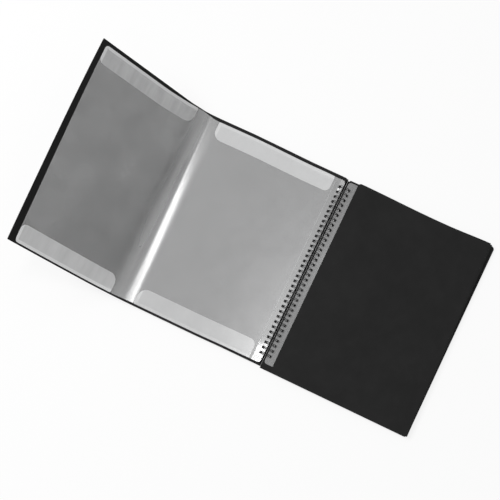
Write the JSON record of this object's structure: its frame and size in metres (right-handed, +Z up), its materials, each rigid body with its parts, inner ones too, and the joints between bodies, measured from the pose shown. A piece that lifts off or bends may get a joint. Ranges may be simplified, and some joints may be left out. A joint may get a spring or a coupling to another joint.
{
  "type": "wire-bound music folder",
  "caption": "Wire-bound music folder with fold-out pocket leaves, clear films over black sheets, one flap raised open.",
  "frame": {"origin": "centre of the footprint of the opened folder, on the floor under the wire", "axes": "+X across the opened folder towards the right cover, +Y along the binding towards the head, +Z up"},
  "size_m": [0.626, 0.318, 0.1644],
  "materials": {
    "black_sheet": "matt black polypropylene sheet",
    "clear_film": "clear glossy film, slightly hazy",
    "black_wire": "black coated steel wire"
  },
  "bodies": {
    "binding": {"binding_wire": "black_wire"},
    "left_cover": {"left_cover": "black_sheet"},
    "left_lower_leaf": {"left_lower_page_backing": "black_sheet", "left_lower_page_film": "clear_film", "left_lower_page_foot_strip": "clear_film", "left_lower_page_head_strip": "clear_film", "left_lower_binding_strip": "clear_film", "left_lower_fold_backing": "black_sheet", "left_lower_fold_film": "clear_film", "left_lower_flap_backing": "black_sheet", "left_lower_flap_film": "clear_film", "left_lower_flap_foot_strip": "clear_film", "left_lower_flap_head_strip": "clear_film"},
    "left_top_page": {"left_top_page_backing": "black_sheet", "left_top_page_film": "clear_film", "left_top_page_foot_strip": "clear_film", "left_top_page_head_strip": "clear_film", "left_top_binding_strip": "clear_film", "left_top_fold_backing": "black_sheet", "left_top_fold_film": "clear_film"},
    "left_top_flap": {"left_top_flap_backing": "black_sheet", "left_top_flap_film": "clear_film", "left_top_flap_foot_strip": "clear_film", "left_top_flap_head_strip": "clear_film"},
    "right_cover": {"right_cover": "black_sheet"},
    "right_lower_leaf": {"right_lower_page_backing": "black_sheet", "right_lower_page_film": "clear_film", "right_lower_page_foot_strip": "clear_film", "right_lower_page_head_strip": "clear_film", "right_lower_binding_strip": "clear_film", "right_lower_fold_backing": "black_sheet", "right_lower_fold_film": "clear_film", "right_lower_flap_backing": "black_sheet", "right_lower_flap_film": "clear_film", "right_lower_flap_foot_strip": "clear_film", "right_lower_flap_head_strip": "clear_film"},
    "right_top_page": {"right_top_page_backing": "black_sheet", "right_top_page_film": "clear_film", "right_top_page_foot_strip": "clear_film", "right_top_page_head_strip": "clear_film", "right_top_binding_strip": "clear_film", "right_top_fold_backing": "black_sheet", "right_top_fold_film": "clear_film"},
    "right_top_flap": {"right_top_flap_backing": "black_sheet", "right_top_flap_film": "clear_film", "right_top_flap_foot_strip": "clear_film", "right_top_flap_head_strip": "clear_film"}
  },
  "joints": [
    {"name": "left_cover_turn", "type": "hinge", "parent": "binding", "child": "left_cover", "pos_m": [0.07569, 0.00187, 0.00862], "axis": [0, 1, 0], "range_deg": [0, 180]},
    {"name": "left_lower_leaf_turn", "type": "hinge", "parent": "left_cover", "child": "left_lower_leaf", "pos_m": [0.07569, 0.00187, 0.00862], "axis": [0, 1, 0], "range_deg": [0, 180]},
    {"name": "left_top_leaf_turn", "type": "hinge", "parent": "left_lower_leaf", "child": "left_top_page", "pos_m": [0.07569, 0.00187, 0.00862], "axis": [0, 1, 0], "range_deg": [0, 180]},
    {"name": "left_flap_fold", "type": "hinge", "parent": "left_top_page", "child": "left_top_flap", "pos_m": [-0.16016, 0.00187, 0.00787], "axis": [0, 1, 0], "range_deg": [-46, 134], "deforming": ["left_top_fold_backing", "left_top_fold_film"]},
    {"name": "right_cover_turn", "type": "hinge", "parent": "binding", "child": "right_cover", "pos_m": [0.07569, 0.00187, 0.00862], "axis": [0, -1, 0], "range_deg": [0, 180]},
    {"name": "right_lower_leaf_turn", "type": "hinge", "parent": "right_cover", "child": "right_lower_leaf", "pos_m": [0.07569, 0.00187, 0.00862], "axis": [0, -1, 0], "range_deg": [0, 180]},
    {"name": "right_top_leaf_turn", "type": "hinge", "parent": "right_lower_leaf", "child": "right_top_page", "pos_m": [0.07569, 0.00187, 0.00862], "axis": [0, -1, 0], "range_deg": [0, 180]},
    {"name": "right_flap_fold", "type": "hinge", "parent": "right_top_page", "child": "right_top_flap", "pos_m": [0.31154, 0.00187, 0.00787], "axis": [0, 1, 0], "range_deg": [0, 180], "deforming": ["right_top_fold_backing", "right_top_fold_film"]}
  ]
}
